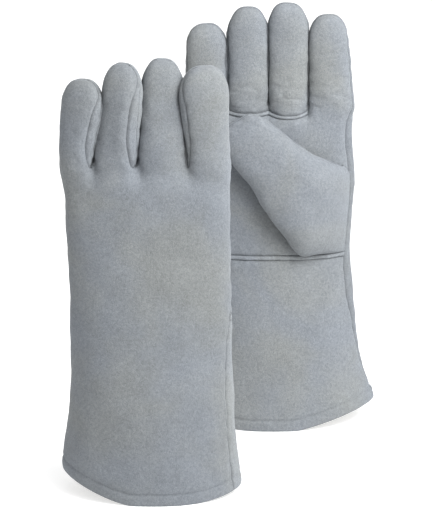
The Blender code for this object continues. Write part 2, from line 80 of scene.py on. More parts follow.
# Half depth of the hand and cuff, and how square its oval is, by height.
HAND_DEPTHS = ((0.110, 0.0300, 2.1), (0.137, 0.0255, 2.2), (0.165, 0.0230, 2.3),
               (0.215, 0.0200, 2.5), (0.262, 0.0170, 2.6))

# Finger sections. The seams lie SEAM_ANGLE degrees round from a finger's sides and close up towards
# its tip, and they take up SEAM_TURN_SHARE of its twist.
SEAM_ANGLE = 20.0
SEAM_ANGLE_TIP = 5.0
SEAM_TURN_SHARE = 0.6
SEAM_CLOSING = (0.62, 0.90)
FINGER_DEPTH_BASE = 0.0150
FINGER_DEPTH_TIP = 0.0128
FINGER_SQUARENESS = 2.3
FINGER_CURL = 0.004
TAPER_HASTE = 1.3
TWIST_HASTE = 3.0
DOME_START = 0.68
DOME_SQUARENESS = 2.05
TIP_WIDTH_SHARE = 0.13
CROTCH_ROUNDING = 0.0085
# The height over which the hand's oval turns into four fingers side by side.
KNUCKLE_BLEND = 0.017
# How far the seam across the front's finger bases sags under the ring and middle fingers.
BASE_SEAM_SAG = (0.0, 0.0012, 0.0034, 0.0)
BASE_SEAM_REACH = 0.012
# The columns' places across a finger's back or front, and across its sides.
BACK_STEPS = (0.0, 0.05, 0.14, 0.28, 0.42, 0.58, 0.72, 0.86, 0.95, 1.0)
SIDE_STEPS = (0.0, 0.16, 0.38, 0.62, 0.84, 1.0)
OUTLINE_STEPS = 60

# The thumb panel, row by row from the side seam to the tip: its cuff-side end (u, w), its
# notch-side end (u, w), and its height over the palm at those ends and in the middle.
THUMB_ROWS = (((0.0640, 0.1446), (0.0650, 0.2100), 0.0003, 0.0003, 0.0003),
              ((0.0420, 0.1446), (0.0610, 0.2165), 0.0008, 0.0012, 0.0120),
              ((0.0245, 0.1450), (0.0580, 0.2185), 0.0010, 0.0020, 0.0175),
              ((0.0130, 0.1600), (0.0550, 0.2205), 0.0060, 0.0030, 0.0215),
              ((0.0025, 0.1790), (0.0500, 0.2235), 0.0105, 0.0045, 0.0235),
              ((-0.0172, 0.2060), (0.0290, 0.2350), 0.0125, 0.0080, 0.0235),
              ((-0.0302, 0.2245), (0.0108, 0.2510), 0.0125, 0.0100, 0.0220),
              ((-0.0365, 0.2400), (-0.0030, 0.2620), 0.0120, 0.0110, 0.0190),
              ((-0.0345, 0.2545), (-0.0195, 0.2655), 0.0115, 0.0115, 0.0120))
THUMB_HINGE_ROW = 4
THUMB_UNDER_ROW = 2
THUMB_SUBROWS = 4
THUMB_COLUMNS = 12
THUMB_SQUARENESS = 2.5
THUMB_GAPS = (0.0003, 0.0030)
THUMB_LINING_SPAN = 0.86
# The thumb stands straight out from the hand. Next to the side seam only WING_LEAN of its direction
# is straight out and the rest is the palm's own normal, which fades over WING_SHARE of the palm.
WING_LEAN = 0.7
WING_SHARE = 0.18
NORMAL_STEP = 0.01
# Prefers the palm's face to the sharp bend at its side, where both have the same u.
PALM_BIAS = 0.05
THUMB_WRAP_COLUMNS = 2

# One finger: base centre, base half width, tip centre, tip half width, tip height,
# twist about its own length, and how far it sits towards the palm.
LEFT_FINGERS = (
    (-0.0560, 0.0136, -0.0510, 0.0168, 0.3355, -50.0, -0.002),
    (-0.0256, 0.0180, -0.0196, 0.0162, 0.3485, -54.0, -0.002),
    (0.0112, 0.0199, 0.0112, 0.0174, 0.3510, -6.0, 0.003),
    (0.0464, 0.0172, 0.0432, 0.0200, 0.3467, 26.0, -0.005),
)
RIGHT_FINGERS = (
    (-0.0504, 0.0168, -0.0508, 0.0169, 0.3335, 0.0, 0.0),
    (-0.0171, 0.0170, -0.0174, 0.0173, 0.3475, 0.0, 0.0),
    (0.0153, 0.0170, 0.0150, 0.0173, 0.3510, 0.0, 0.0),
    (0.0492, 0.0188, 0.0472, 0.0163, 0.3412, 0.0, 0.0),
)
# Little-finger edge and index edge of the hand and cuff, by height.
LEFT_EDGES = ((0.000, -0.0690, 0.0740), (0.035, -0.0648, 0.0695), (0.070, -0.0635, 0.0672),
              (0.115, -0.0612, 0.0652), (0.190, -0.0632, 0.0638), (0.225, -0.0655, 0.0632),
              (0.262, -0.0690, 0.0628))
RIGHT_EDGES = ((0.000, -0.0780, 0.0870), (0.021, -0.0730, 0.0795), (0.045, -0.0685, 0.0740),
               (0.094, -0.0630, 0.0692), (0.142, -0.0610, 0.0665), (0.205, -0.0635, 0.0695),
               (0.240, -0.0660, 0.0668), (0.262, -0.0670, 0.0672))
# Half depth of the cuff from the hem up, by height, with its squareness.
LEFT_CUFF_DEPTHS = ((0.000, 0.0470, 2.0), (0.045, 0.0420, 2.0), (0.080, 0.0375, 2.05))
RIGHT_CUFF_DEPTHS = ((0.000, 0.0440, 2.0), (0.045, 0.0380, 2.0), (0.080, 0.0340, 2.05))
# How far the hem rises and how suddenly, at the little-finger side and at the index side.
LEFT_HEM_RISE = ((0.0190, 1.35), (0.0063, 2.4))
RIGHT_HEM_RISE = ((0.0120, 1.5), (0.0175, 1.1))
# How far the back panel wraps round each side: little-finger side, index side, by height.
LEFT_WRAPS = ((0.000, 20.0, -24.0), (0.120, 20.0, -20.0), (0.190, 24.0, 20.0), (0.262, 25.0, 25.0))
RIGHT_WRAPS = ((0.000, 22.0, -4.0), (0.050, 22.0, 8.0), (0.110, 22.0, 24.0), (0.190, 24.0, 22.0),
               (0.262, 25.0, 25.0))

# Where each glove's own axis stands in the CAD's frame.
LEFT_PLACE = Vector((-0.0570, -0.0915, 0.0))
RIGHT_PLACE = Vector((0.0390, 0.0945, 0.0))

# How thin a panel becomes where the glove is too narrow for it.
CLEARANCE_SHARE = 0.42
THINNEST = 0.0003
RAY_START = 0.0004
RAY_REACH = 0.2
RAY_TRIES = 4

# How the leather lies: seams roll in, it puckers beside them, and it is never quite even.
SUBDIVISIONS = 2
EDGE_PARTS = 4
FAR_AWAY = 1.0
ROLL_DEPTH = 0.0010
ROLL_WIDTH = 0.0013
PUFF_HEIGHT = 0.0004
PUFF_REACH = 0.0060
PUFF_STEEPNESS = 1.6
PUCKER_DEPTH = 0.0009
PUCKER_REACH = 0.0090
PUCKER_LENGTH = 0.0065
PUCKER_TOP = 0.3380
PUCKER_FADE = 0.0160
PUCKER_LEAST = 0.02
SEED_SLANT = 0.37
HEM_CREASE = 0.0088
HEM_CREASE_DEPTH = 0.0009
HEM_CREASE_WIDTH = 0.0011
HEM_ROLL = 0.0012
# How near a cut edge the surface moves less, and by what share it still moves there.
EDGE_CALM = 0.004
EDGE_SHARE = 0.35
# The creases at the finger bases: their heights, their lengths along u, v and w, their width as a
# share of the noise they follow, their depth, and how near a seam they fade out.
CREASE_SPAN = (0.262, 0.294)
CREASE_LENGTHS = (0.018, 0.030, 0.009)
CREASE_SHARE = 0.22
CREASE_DEPTH = 0.0008
CREASE_MARGIN = 0.0070
# Wavelength and depth of the leather's unevenness.
UNDULATIONS = ((0.055, 0.0016), (0.021, 0.0008), (0.0105, 0.00028))

FINGER_NAMES = ("little", "ring", "middle", "index")
SHARP_ANGLE = 60.0
THUMB_SEED_STEP = 5.0
LEFT_SEED = 3.0
RIGHT_SEED = 11.0
TINY = 1e-9


# ---------------------------------------------------------------- numbers
def smoothstep(x):
    x = min(max(x, 0.0), 1.0)
    return x * x * (3.0 - 2.0 * x)


def mix(a, b, share):
    return a + (b - a) * share


def station(table, height):
    """The table's other columns at a height, on a smooth curve through its rows."""
    height = min(max(height, table[0][0]), table[-1][0])
    last = len(table) - 1
    row = max(i for i in range(last) if table[i][0] <= height)
    low, high = table[row], table[row + 1]
    span = high[0] - low[0]
    share = (height - low[0]) / span
    before, after = table[max(row - 1, 0)], table[min(row + 2, last)]
    found = []
    for column in range(1, len(low)):
        slope_low = (high[column] - before[column]) / (high[0] - before[0])
        slope_high = (after[column] - low[column]) / (after[0] - low[0])
        cubic = (2 * share ** 3 - 3 * share ** 2 + 1) * low[column]
        cubic += (share ** 3 - 2 * share ** 2 + share) * span * slope_low
        cubic += (3 * share ** 2 - 2 * share ** 3) * high[column]
        cubic += (share ** 3 - share ** 2) * span * slope_high
        found.append(cubic)
    return found


def oval(angle, half_width, half_depth, squareness):
    """A point of a squared oval. Angle 0 faces +u and 90 faces +v."""
    c = math.cos(math.radians(angle))
    s = math.sin(math.radians(angle))
    power = 2.0 / squareness
    return (math.copysign(abs(c) ** power, c) * half_width,
            math.copysign(abs(s) ** power, s) * half_depth)


# ---------------------------------------------------------------- the welded skin
class Skin:
    """Named vertices, and faces that carry the name of the region they belong to."""

    def __init__(self):
        self.points = []
        self.index = {}
        self.faces = []
        self.regions = []

    def vertex(self, key, point):
        if key not in self.index:
            self.index[key] = len(self.points)
            self.points.append(Vector(point))
        return self.index[key]

    def quad(self, keys, region):
        corners = list(dict.fromkeys(self.index[key] for key in keys))
        if len(corners) >= 3:
            self.faces.append(corners)
            self.regions.append(region)


class Glove:
    """One glove's shape, with the skin of its hand and the skin of its thumb. The lining is
    the same glove, inset from the leather all round."""

    def __init__(self, edges, cuff_depths, hem_rise, wraps, fingers, inset=0.0):
        self.inset = inset
        self.edges = edges
        self.depths = cuff_depths + HAND_DEPTHS
        self.hem_rise = hem_rise
        self.wraps = wraps
        self.fingers = fingers
        self.skin = Skin()
        self.thumb = Skin()
        self.heights = CUFF_HEIGHTS + HAND_HEIGHTS
        self.seam_row = self.heights.index(CUFF_SEAM)
        self.hinge_row = self.heights.index(FINGER_HINGE)
        self.crotch_row = len(self.heights) - 1
        self.back_slots = self.row_slots("back")
        self.palm_slots = self.row_slots("palm")
        self.back_shares = self.shares_along(self.back_slots)
        self.palm_shares = self.shares_along(self.palm_slots)
        self.add_hand_rows()
        self.add_hand_faces()
        self.add_fingers()
        self.add_thumb()

    # ---- fingers
    def finger_point(self, slot, height):
        base_u, base_half, tip_u, tip_half, tip, twist, towards_palm = self.fingers[slot[0]]
        share = min(max((height - CROTCH) / (tip - CROTCH), 0.0), 1.0)
        along = smoothstep(share * TAPER_HASTE)
        half_width = mix(base_half, tip_half, along) - self.inset
        half_depth = mix(FINGER_DEPTH_BASE, FINGER_DEPTH_TIP, along) - self.inset
        if share > DOME_START:
            over = (share - DOME_START) / (1.0 - DOME_START)
            dome = max(1.0 - over ** DOME_SQUARENESS, 0.0) ** (1.0 / DOME_SQUARENESS)
            half_width *= mix(TIP_WIDTH_SHARE, 1.0, dome)
            half_depth *= dome
        closing = smoothstep((share - SEAM_CLOSING[0]) / (SEAM_CLOSING[1] - SEAM_CLOSING[0]))
        angle = self.slot_angle(*slot[1:], mix(SEAM_ANGLE, SEAM_ANGLE_TIP, closing))
        angle += twist * SEAM_TURN_SHARE * (1.0 - closing) * self.turned_share(slot, twist)
        u, v = oval(angle, half_width, half_depth, FINGER_SQUARENESS)
        turn = math.radians(twist) * (1.0 - SEAM_TURN_SHARE) * smoothstep(share * TWIST_HASTE)
        centre_u = mix(base_u, tip_u, along)
        centre_v = towards_palm * along + FINGER_CURL * share * share
        return Vector((centre_u + u * math.cos(turn) - v * math.sin(turn),
                       centre_v + u * math.sin(turn) + v * math.cos(turn), self.settle(height)))

    def turned_share(self, slot, twist):
        """A turned finger's seams move on the side that comes forward and stay on the other."""
        _, side, step = slot
        to_index = {"back": BACK_STEPS[step], "palm": 1.0 - BACK_STEPS[step], "right": 1.0, "left": 0.0}
        return to_index[side] if twist < 0.0 else 1.0 - to_index[side]

    def settle(self, height):
        """The lining's fingers and crotches lie lower than the leather's by the inset."""
        return height - self.inset * smoothstep((height - FINGER_HINGE) / (CROTCH - FINGER_HINGE))

    def slot_angle(self, side, step, seam_angle):
        """The angle round a finger's section of one of its columns."""
        if side == "back":
            return mix(180.0 + seam_angle, 360.0 - seam_angle, BACK_STEPS[step])
        if side == "palm":
            return mix(seam_angle, 180.0 - seam_angle, BACK_STEPS[step])
        if side == "right":
            return mix(-seam_angle, seam_angle, SIDE_STEPS[step])
        return mix(180.0 - seam_angle, 180.0 + seam_angle, SIDE_STEPS[step])

    def row_slots(self, side):
        """The columns across the back, or across the palm from the index finger back."""
        order = range(4) if side == "back" else range(3, -1, -1)
        slots = []
        for finger in order:
            first = 0 if not slots else 1
            slots += [(finger, side, step) for step in range(first, len(BACK_STEPS))]
        if side == "back":
            outer_left = [(0, "left", step) for step in range(0, len(SIDE_STEPS) - 1)]
            outer_right = [(3, "right", step) for step in range(1, len(SIDE_STEPS))]
            slots = outer_left + slots + outer_right
        return slots

    def crotch_pair(self, slot):
        """The other finger's column that meets this one at a crotch, or None."""
        finger, side, step = slot
        last = len(BACK_STEPS) - 1
        if side == "back" and step == last and finger < 3:
            return (finger + 1, "back", 0)
        if side == "back" and step == 0 and finger > 0:
            return (finger - 1, "back", last)
        if side == "palm" and step == 0 and finger < 3:
            return (finger + 1, "palm", last)
        if side == "palm" and step == last and finger > 0:
            return (finger - 1, "palm", 0)
        if side == "right" and finger < 3:
            return (finger + 1, "left", len(SIDE_STEPS) - 1 - step)
        if side == "left" and finger > 0:
            return (finger - 1, "right", len(SIDE_STEPS) - 1 - step)
        return None

    def chain_point(self, slot, height):
        """A column of the four fingers side by side, joined at their crotches."""
        point = self.finger_point(slot, height)
        pair = self.crotch_pair(slot)
        if pair:
            other = self.finger_point(pair, height)
            opening = min(max((height - CROTCH) / CROTCH_ROUNDING, 0.0), 1.0)
            apart = math.sqrt(1.0 - (1.0 - opening) ** 2)
            meeting = (point + other) / 2.0
            if self.inset:
                meeting.y *= LINING_VALLEY
            point = mix(meeting, point, apart)
        return point

    def shares_along(self, slots):
        """How far round the section each column is, from 0 to 1, at the crotches."""
        points = [self.chain_point(slot, CROTCH) for slot in slots]
        lengths = [0.0]
        for here, there in zip(points, points[1:]):
            lengths.append(lengths[-1] + (there - here).length)
        return [length / lengths[-1] for length in lengths]

    # ---- hand and cuff
    def outline(self, side, height):
        """The hand or cuff section's back or palm, as a fine line with its lengths."""
        low_u, high_u = station(self.edges, height)
        half_depth, squareness = station(self.depths, height)
        centre, half_width = (low_u + high_u) / 2.0, (high_u - low_u) / 2.0 - self.inset
        half_depth -= self.inset
        little_wrap, index_wrap = station(self.wraps, height)
        start, end = index_wrap, 180.0 - little_wrap
        if side == "back":
            start, end = 180.0 - little_wrap, 360.0 + index_wrap
        corners = [oval(mix(start, end, i / OUTLINE_STEPS), half_width, half_depth, squareness)
                   for i in range(OUTLINE_STEPS + 1)]
        lengths = [0.0]
        for here, there in zip(corners, corners[1:]):
            lengths.append(lengths[-1] + math.dist(here, there))
        return [(centre + u, v) for u, v in corners], lengths

    def hand_point(self, side, share, height):
        """A point of the hand or cuff section, a share of the way along its back or palm."""
        corners, lengths = self.outline(side, height)
        wanted = share * lengths[-1]
        step = max(i for i in range(len(lengths) - 1) if lengths[i] <= wanted + TINY)
        part = (wanted - lengths[step]) / (lengths[step + 1] - lengths[step])
        u = mix(corners[step][0], corners[step + 1][0], part)
        v = mix(corners[step][1], corners[step + 1][1], part)
        return Vector((u, v, height + self.hem_lift(u, height)))

    def hem_lift(self, u, height):
        low_u, high_u = station(self.edges, height)
        across = abs(u - (low_u + high_u) / 2.0) / ((high_u - low_u) / 2.0)
        beyond = max(across - HEM_FLAT_SHARE, 0.0) / (1.0 - HEM_FLAT_SHARE)
        rise, power = self.hem_rise[0] if u < (low_u + high_u) / 2.0 else self.hem_rise[1]
        return rise * beyond ** power * smoothstep(1.0 - height / CUFF_SEAM)

    def row_point(self, slot, share, height):
        hand = self.hand_point("palm" if slot[1] == "palm" else "back", share, height)
        hand.z += self.settle(height) - height
        knuckle = smoothstep((height - CROTCH + KNUCKLE_BLEND) / KNUCKLE_BLEND)
        point = mix(hand, self.chain_point(slot, height), knuckle)
        if slot[1] == "palm":
            point.z -= self.seam_sag(slot, height)
        return point

    def seam_sag(self, slot, height):
        """The seam across the front's finger bases hangs lower in the middle of each finger."""
        near = max(1.0 - abs(height - FINGER_HINGE - WELT_WIDTH / 2.0) / BASE_SEAM_REACH, 0.0)
        across = math.sin(math.pi * BACK_STEPS[slot[2]])
        return BASE_SEAM_SAG[slot[0]] * across * smoothstep(near)

    # ---- keys shared by neighbouring regions
    def row_key(self, row, slot):
        if slot == (3, "palm", 0):
            slot = (3, "right", len(SIDE_STEPS) - 1)
        if slot == (0, "palm", len(BACK_STEPS) - 1):
            slot = (0, "left", 0)
        pair = self.crotch_pair(slot)
        if pair and slot[1] in ("back", "palm"):
            slot = min(slot, pair)
        return ("row", row, slot)

    # ---- rows of vertices
    def add_hand_rows(self):
        for row, height in enumerate(self.heights):
            for slot, share in zip(self.back_slots, self.back_shares):
                self.skin.vertex(self.row_key(row, slot), self.row_point(slot, share, height))
            for slot, share in zip(self.palm_slots, self.palm_shares):
                self.skin.vertex(self.row_key(row, slot), self.row_point(slot, share, height))

    def add_hand_faces(self):
        for row in range(self.crotch_row):
            for side, slots in (("back", self.back_slots), ("palm", self.palm_slots)):
                for a, b in zip(slots, slots[1:]):
                    region = self.row_region(row, side, b[0])
                    self.skin.quad([self.row_key(row, a), self.row_key(row, b),
                                    self.row_key(row + 1, b), self.row_key(row + 1, a)], region)

    def row_region(self, row, side, finger):
        if self.inset:
            return "lining" if self.heights[row] >= LINING_HEM else "nothing"
        if side == "back":
            return "back" if row < self.hinge_row else "back_beyond"
        if row < self.seam_row:
            return "cuff_palm_panel"
        if row == self.seam_row:
            return "cuff_welt"
        if row < self.hinge_row:
            return "palm"
        if finger in (0, 3):
            return "palm_beyond"
        return "finger_welt" if row == self.hinge_row else "front_middle"

    def add_fingers(self):
        for finger in range(4):
            loop = []
            for side, steps in (("back", BACK_STEPS), ("right", SIDE_STEPS),
                                ("palm", BACK_STEPS), ("left", SIDE_STEPS)):
                loop += [(finger, side, step) for step in range(len(steps) - 1)]
            tip = self.fingers[finger][4]
            heights = [CROTCH] + [mix(CROTCH, tip, share) for share in FINGER_SHARES]
            rows = []
            for level, height in enumerate(heights):
                keys = []
                for slot in loop:
                    key = self.finger_key(level, len(heights) - 1, slot)
                    self.skin.vertex(key, self.chain_point(slot, height))
                    keys.append(key)
                rows.append(keys)
            for low, high in zip(rows, rows[1:]):
                for i, slot in enumerate(loop):
                    j = (i + 1) % len(loop)
                    self.skin.quad([low[i], low[j], high[j], high[i]], self.finger_region(slot))

    def finger_key(self, level, last, slot):
        """A finger's column at a level. Seams between sides share one vertex."""
        finger, side, step = slot
        if step == 0 and side in ("right", "left"):
            side, step = ("back" if side == "right" else "palm"), len(BACK_STEPS) - 1
        if level == 0:
            return self.crotch_row_key((finger, side, step))
        if level == last:
            return self.tip_key(finger, side, step)
        return ("finger", finger, level, side, step)

    def crotch_row_key(self, slot):
        if slot[1] in ("right", "left") and self.crotch_pair(slot):
            return ("crotch", min(slot, self.crotch_pair(slot)))
        return self.row_key(self.crotch_row, slot)

    def tip_key(self, finger, side, step):
        """The section closes to one seam across the fingertip."""
        last = len(BACK_STEPS) - 1
        if side == "palm":
            step = last - step
        if side == "right":
            step = last
        if side == "left":
            step = 0
        return ("tip", finger, step)

    def finger_region(self, slot):
        finger, side, _ = slot
        if self.inset:
            return "lining"
        if side == "back" or (finger == 0 and side == "left") or (finger == 3 and side == "right"):
            return "back_beyond"
        if side == "palm":
            return "palm_beyond" if finger in (0, 3) else "front_middle"
        gap = finger if side == "right" else finger - 1
        return "fourchette_" + FINGER_NAMES[gap]

    # ---- thumb
    def palm_place(self, u, height):
        """How far along the palm's outline, from 0 to 1, the place at u is."""
        corners, lengths = self.outline("palm", height)
        step = min(range(len(corners)), key=lambda i: abs(corners[i][0] - u) - corners[i][1] * PALM_BIAS)
        return lengths[step] / lengths[-1]

    def thumb_base(self, share, height):
        """A point of the palm under the thumb, and which way the thumb stands off it."""
        here = self.hand_point("palm", share, height)
        before = self.hand_point("palm", max(share - NORMAL_STEP, 0.0), height)
        after = self.hand_point("palm", min(share + NORMAL_STEP, 1.0), height)
        along = after - before
        normal = Vector((along.y, -along.x, 0.0)).normalized()
        if normal.y < 0.0:
            normal = -normal
        lean = mix(WING_LEAN, 1.0, smoothstep(share / WING_SHARE))
        return here, mix(normal, Vector((0.0, 1.0, 0.0)), lean).normalized()

    def add_thumb(self):
        """The thumb folded across the palm: an outer sheet, and an inner one under it."""
        table = []
        for row, (cuff_end, notch_end, cuff_edge, notch_edge, crown) in enumerate(THUMB_ROWS):
            cuff_share = 0.0 if row == 0 else self.palm_place(*cuff_end)
            notch_share = 0.0 if row == 0 else self.palm_place(*notch_end)
            gap = THUMB_GAPS[0] if row < THUMB_HINGE_ROW else THUMB_GAPS[1]
            table.append((float(row), cuff_share, cuff_end[1], notch_share, notch_end[1],
                          cuff_edge, notch_edge, crown, gap))
        first, last = 0, (len(THUMB_ROWS) - 1) * THUMB_SUBROWS
        if self.inset:
            first, last = THUMB_HINGE_ROW * THUMB_SUBROWS, last - THUMB_SUBROWS // 2
        for row in range(first, last + 1):
            self.add_thumb_row(row, station(table, row / THUMB_SUBROWS))
        for row in range(first, last):
            for sheet in ("outer", "inner") if self.thumb_doubled(row) else ("outer",):
                for column in range(THUMB_COLUMNS):
                    wraps = column < THUMB_WRAP_COLUMNS
                    region = "thumb_wing" if sheet == "outer" or wraps else "thumb_inner"
                    self.thumb_quad([(row, column, sheet), (row + 1, column, sheet),
                                     (row + 1, column + 1, sheet), (row, column + 1, sheet)], region)
        if self.inset:
            self.close_thumb_lining(first, last)

    def thumb_doubled(self, row):
        return row / THUMB_SUBROWS >= THUMB_UNDER_ROW

    def add_thumb_row(self, row, numbers):
        cuff_share, cuff_w, notch_share, notch_w, cuff_edge, notch_edge, crown, gap = numbers
        span = THUMB_LINING_SPAN if self.inset else 1.0
        for column in range(THUMB_COLUMNS + 1):
            across = -math.cos(math.pi * column / THUMB_COLUMNS) * span
            part = (across + 1.0) / 2.0
            share, w = mix(cuff_share, notch_share, part), mix(cuff_w, notch_w, part)
            base, outwards = self.thumb_base(max(share, 0.0), w)
            lens = max(1.0 - abs(across) ** THUMB_SQUARENESS, 0.0) ** (1.0 / THUMB_SQUARENESS)
            edge = mix(cuff_edge, notch_edge, part)
            high, low = mix(edge, crown, lens), mix(edge, min(gap, edge), lens)
            self.thumb.vertex(self.thumb_key(row, column, "outer"), base + outwards * high)
            if self.thumb_doubled(row):
                low += 2.0 * self.inset
                self.thumb.vertex(self.thumb_key(row, column, "inner"), base + outwards * low)

    def thumb_quad(self, corners, region):
        self.thumb.quad([self.thumb_key(*corner) for corner in corners],
                        "lining" if self.inset else region)

    def close_thumb_lining(self, first, last):
        """Joins the lining's two sheets along the thumb's sides and round its tip."""
        for row in range(first, last):
            for column in (0, THUMB_COLUMNS):
                self.thumb_quad([(row, column, "outer"), (row, column, "inner"),
                                 (row + 1, column, "inner"), (row + 1, column, "outer")], "lining")
        for column in range(THUMB_COLUMNS):
            self.thumb_quad([(last, column, "outer"), (last, column, "inner"),
                             (last, column + 1, "inner"), (last, column + 1, "outer")], "lining")

    def thumb_key(self, row, column, sheet):
        closed = self.thumb_doubled(row) and column in (0, THUMB_COLUMNS)
        if not self.inset and (closed or row == (len(THUMB_ROWS) - 1) * THUMB_SUBROWS):
            sheet = "edge"
        return ("thumb", row, column, sheet)


# ---------------------------------------------------------------- panels cut from a skin
class Surface:
    """A skin subdivided, rolled in at its seams, and ready to be cut into panels."""

    def __init__(self, skin, seed, hemmed=False):
        self.names = sorted(set(skin.regions))
        mesh = bpy.data.meshes.new("skin")
        mesh.from_pydata([tuple(point) for point in skin.points], [], skin.faces)
        regions = mesh.attributes.new("region", "INT", "FACE")
        regions.data.foreach_set("value", [self.names.index(name) for name in skin.regions])
        work = bmesh.new()
        work.from_mesh(mesh)
        bmesh.ops.recalc_face_normals(work, faces=work.faces)
        work.to_mesh(mesh)
        work.free()
        thing = bpy.data.objects.new("skin", mesh)
        bpy.context.scene.collection.objects.link(thing)
        smoother = thing.modifiers.new("smooth", "SUBSURF")
        smoother.levels = SUBDIVISIONS
        bpy.context.view_layer.update()
        fine = thing.evaluated_get(bpy.context.evaluated_depsgraph_get()).to_mesh()
        count = len(fine.vertices)
        self.points = np.zeros(count * 3)
        fine.vertices.foreach_get("co", self.points)
        self.points = self.points.reshape(-1, 3)
        self.faces = [tuple(face.vertices) for face in fine.polygons]
        self.region = [self.names[item.value] for item in fine.attributes["region"].data]
        bpy.data.objects.remove(thing)
        bpy.data.meshes.remove(mesh)
        self.settle_facing()
        self.normals = self.vertex_normals()
        self.find_seams()
        self.shape_leather(seed, hemmed)
        self.normals = self.vertex_normals()
        self.room = None

    def quads(self):
        """The faces' vertices as an array, a triangle's last one twice."""
        return np.array([face if len(face) == 4 else face + face[-1:] for face in self.faces])

    def vertex_normals(self):
        quads = self.quads()
        corners = self.points[quads]
        across = np.cross(corners[:, 2] - corners[:, 0], corners[:, 3] - corners[:, 1])
        normals = np.zeros_like(self.points)
        for column in range(4):
            np.add.at(normals, quads[:, column], across)
        return normals / np.maximum(np.linalg.norm(normals, axis=1), TINY)[:, None]

    def settle_facing(self):
        """Turns every face round if the skin came out facing in."""
        quads = self.quads()
        corners = self.points[quads]
        across = np.cross(corners[:, 2] - corners[:, 0], corners[:, 3] - corners[:, 1])
        middle = corners.mean(axis=1) - self.points.mean(axis=0)
        if (across * middle).sum() < 0.0:
            self.faces = [face[::-1] for face in self.faces]

    def find_seams(self):
        """How far each vertex is from the nearest seam and from the nearest cut edge."""
        sides = {}
        for face, region in zip(self.faces, self.region):
            for i, a in enumerate(face):
                b = face[(i + 1) % len(face)]
                sides.setdefault((min(a, b), max(a, b)), []).append(region.replace("_beyond", ""))
        seams = [edge for edge, found in sides.items() if len(found) > 1 and len(set(found)) > 1]
        cuts = [edge for edge, found in sides.items() if len(found) == 1]
        self.cut = {index for edge in cuts for index in edge}
        self.seam_distance = self.distance_to(seams)
        self.cut_distance = self.distance_to(cuts)

    def distance_to(self, edges):
        if not edges:
            return np.full(len(self.points), FAR_AWAY)
        tree = kdtree.KDTree(len(edges) * EDGE_PARTS)
        for i, (a, b) in enumerate(edges):
            for part in range(EDGE_PARTS):
                place = mix(self.points[a], self.points[b], part / EDGE_PARTS)
                tree.insert(place, i * EDGE_PARTS + part)
        tree.balance()
        return np.array([tree.find(point)[2] for point in self.points])

    def shape_leather(self, seed, hemmed):
        """Rolls the seams in, puckers the leather beside them, and makes it uneven."""
        offset = Vector((seed, seed * SEED_SLANT, 0.0))
        seam = self.seam_distance
        move = -ROLL_DEPTH * np.exp(-(seam / ROLL_WIDTH) ** 2)
        move += PUFF_HEIGHT * np.exp(-((seam - PUFF_REACH) / PUFF_REACH * PUFF_STEEPNESS) ** 2)
        near = np.exp(-(seam / PUCKER_REACH) ** 2)
        near *= np.clip((PUCKER_TOP - self.points[:, 2]) / PUCKER_FADE, 0.0, 1.0)
        for i, point in enumerate(self.points):
            place = Vector(point)
            for length, depth in UNDULATIONS:
                move[i] += depth * noise.noise(place / length + offset)
            if near[i] > PUCKER_LEAST:
                move[i] += PUCKER_DEPTH * near[i] * noise.noise(place / PUCKER_LENGTH - offset)
            move[i] -= self.crease_depth(place, offset) * min(seam[i] / CREASE_MARGIN, 1.0)
        if hemmed:
            crease = (self.cut_distance - HEM_CREASE) / HEM_CREASE_WIDTH
            move -= HEM_CREASE_DEPTH * np.exp(-crease ** 2)
            move -= HEM_ROLL * np.exp(-(self.cut_distance / HEM_CREASE_WIDTH) ** 2)
        settled = np.clip(self.cut_distance / EDGE_CALM, EDGE_SHARE, 1.0)
        self.points = self.points + self.normals * (move * settled)[:, None]

    def crease_depth(self, place, offset):
        """The creases across the palm side at the fingers' bases, where they bend."""
        low, high = CREASE_SPAN
        if place.y < 0.0 or not low < place.z < high:
            return 0.0
        wander = noise.noise(Vector([place[i] / CREASE_LENGTHS[i] for i in range(3)]) + offset)
        line = max(1.0 - abs(wander) / CREASE_SHARE, 0.0)
        return CREASE_DEPTH * line * math.sin(math.pi * (place.z - low) / (high - low))

    def clearance(self):
        """How far in from each vertex the other side of the skin is."""
        if self.room is None:
            tree = BVHTree.FromPolygons(self.points.tolist(), self.faces)
            places = zip(self.points.tolist(), self.normals.tolist())
            self.room = np.array([self.room_behind(tree, Vector(at), Vector(out)) for at, out in places])
        return self.room

    def room_behind(self, tree, point, normal):
        """How far in the first face that looks the other way is."""
        start = point
        for _ in range(RAY_TRIES):
            place, facing, _, _ = tree.ray_cast(start - normal * RAY_START, -normal, RAY_REACH)
            if place is None:
                break
            if facing.dot(normal) < 0.0:
                return (place - point).length
            start = place
        return RAY_REACH if point.z < FINGER_HINGE else 0.0

